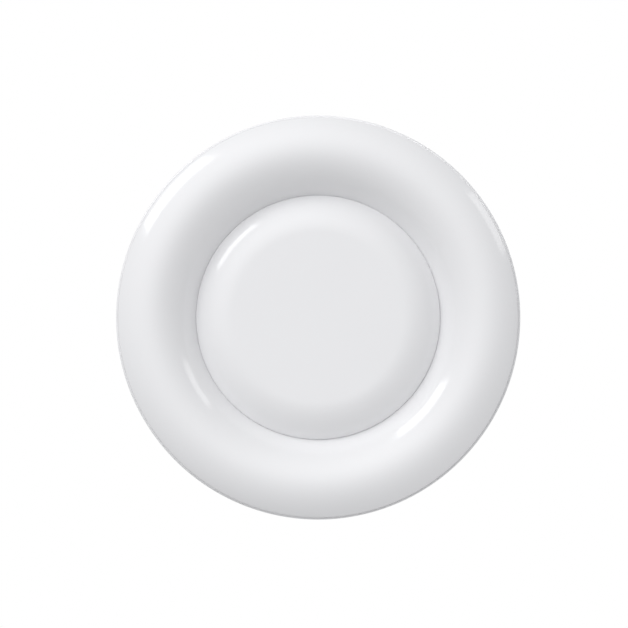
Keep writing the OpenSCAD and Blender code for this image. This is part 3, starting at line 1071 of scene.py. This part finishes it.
def softbox(name, turn, off_axis, distance, size, radiance):
    """A rectangular white light that looks at the object. Distance and size are in metres."""
    light = bpy.data.lights.new(name, "AREA")
    light.shape = "RECTANGLE"
    light.size, light.size_y = size
    light.energy = radiance * math.pi * size[0] * size[1]
    lamp = bpy.data.objects.new(name, light)
    bpy.context.scene.collection.objects.link(lamp)
    way = direction(turn, off_axis)
    lamp.location = way * distance
    lamp.rotation_mode = "QUATERNION"
    lamp.rotation_quaternion = way.to_track_quat("Z", "Y")
    lamp.visible_camera = False


def stage():
    """A pale floor far below the ceiling, in metres. It doesn't hold back the room's light."""
    half, depth = 9.0, 1.75
    tone, glow_level = (0.88, 0.88, 0.89, 1), 0.38
    mesh = bpy.data.meshes.new("floor")
    mesh.from_pydata([(-half, -half, 0), (half, -half, 0), (half, half, 0), (-half, half, 0)],
                     [], [(0, 1, 2, 3)])
    material = bpy.data.materials.new("floor")
    material.use_nodes = True
    shader = material.node_tree.nodes["Principled BSDF"]
    shader.inputs["Base Color"].default_value = tone
    shader.inputs["Emission Color"].default_value = (1, 1, 1, 1)
    shader.inputs["Emission Strength"].default_value = glow_level
    shader.inputs["Roughness"].default_value = 0.9
    mesh.materials.append(material)
    floor = bpy.data.objects.new("floor", mesh)
    floor.location = (0, 0, -depth)
    floor.visible_diffuse = floor.visible_glossy = floor.visible_shadow = False
    bpy.context.scene.collection.objects.link(floor)


def glow(tree, turn, off_axis, falloff, radiance):
    """A wide soft light in the room: brightest in one direction, and fading all round it."""
    def calculated(operation, value, number):
        node = tree.nodes.new("ShaderNodeMath")
        node.operation = operation
        tree.links.new(value, node.inputs[0])
        node.inputs[1].default_value = number
        return node.outputs["Value"]

    towards = tree.nodes.new("ShaderNodeVectorMath")
    towards.operation = "DOT_PRODUCT"
    towards.inputs[1].default_value = direction(turn, off_axis)
    view = tree.nodes.new("ShaderNodeTexCoord").outputs["Generated"]
    tree.links.new(view, towards.inputs[0])
    level = calculated("MAXIMUM", towards.outputs["Value"], 0.0)
    return calculated("MULTIPLY", calculated("POWER", level, falloff), radiance)


def room():
    """A white room with an even fill and three wide soft lights: a main one below the ceiling,
    one low across from it, and a faint one above."""
    fill_level = 0.40
    # Each: turn and off_axis of its middle, how fast it fades, and its radiance.
    glows = ((118.0, 30.0, 5.0, 1.62), (298.0, 100.0, 3.0, 0.50), (0.0, 180.0, 1.0, 0.15))
    world = bpy.data.worlds.new("room")
    bpy.context.scene.world = world
    world.use_nodes = True
    tree = world.node_tree
    tree.nodes.clear()
    level = tree.nodes.new("ShaderNodeValue").outputs["Value"]
    level.default_value = fill_level
    for shape in glows:
        total = tree.nodes.new("ShaderNodeMath")
        total.operation = "ADD"
        tree.links.new(level, total.inputs[0])
        tree.links.new(glow(tree, *shape), total.inputs[1])
        level = total.outputs["Value"]
    fill = tree.nodes.new("ShaderNodeBackground")
    fill.inputs["Color"].default_value = (0.99, 0.992, 1.0, 1)
    tree.links.new(level, fill.inputs["Strength"])
    white = tree.nodes.new("ShaderNodeBackground")
    white.inputs["Color"].default_value = (1, 1, 1, 1)
    path = tree.nodes.new("ShaderNodeLightPath")
    either = tree.nodes.new("ShaderNodeMixShader")
    output = tree.nodes.new("ShaderNodeOutputWorld")
    tree.links.new(path.outputs["Is Camera Ray"], either.inputs[0])
    tree.links.new(fill.outputs[0], either.inputs[1])
    tree.links.new(white.outputs[0], either.inputs[2])
    tree.links.new(either.outputs[0], output.inputs["Surface"])
    bpy.context.scene.view_settings.view_transform = "Standard"


def lights():
    """A key at a low angle for the gloss, a weaker one across from it, and one above for the
    side in the duct."""
    softbox("key", 138.5, 69.0, 1.0, (0.46, 0.42), 4.2)
    softbox("weak", 31.0, 75.0, 1.3, (0.45, 0.40), 2.3)
    softbox("above", 60.0, 150.0, 1.4, (0.9, 0.9), 1.8)


def camera():
    """Looks up at the face, a little to the right of and below its axis."""
    data = bpy.data.cameras.new("camera")
    data.lens = 150.0
    data.sensor_width = 36.0
    distance = 1.102
    lean = math.radians(1.5)
    aim = Vector((0.00164, 0.00135, 0.0))
    back = Vector((-math.tan(lean), -math.tan(lean), -1))
    eye = bpy.data.objects.new("camera", data)
    bpy.context.scene.collection.objects.link(eye)
    forward = -back.normalized()
    right = forward.cross(Vector((0, 1, 0))).normalized()
    up = right.cross(forward)
    eye.rotation_mode = "QUATERNION"
    eye.rotation_quaternion = Matrix((right, up, -forward)).transposed().to_quaternion()
    eye.location = aim - forward * distance
    data.clip_start, data.clip_end = 0.01, 20.0
    bpy.context.scene.camera = eye


face_ring()
neck()
flange_seal()
crossbar()
rivets()
threaded_bush()
clips()
disc()
hub()
spindle()
nut("cup_nut", "disc_nut", "disc")
nut("locking_nut", "lock_nut", "lock_nut")
washer("locking_washer", "lock_washer", "nut_carrier", THREAD_R + 0.25, ZINC, "zinc_plated", 0.3)
washer("buffer_ring", "buffer_washer", "disc_carrier", THREAD_R + 0.3, NYLON, "nylon", 0.45)
end_clip()
mounting_frame()
lip_seal()
for screw_number, screw_turn in SCREW_TURNS.items():
    frame_screw(screw_number, screw_turn)
stage()
room()
lights()
camera()
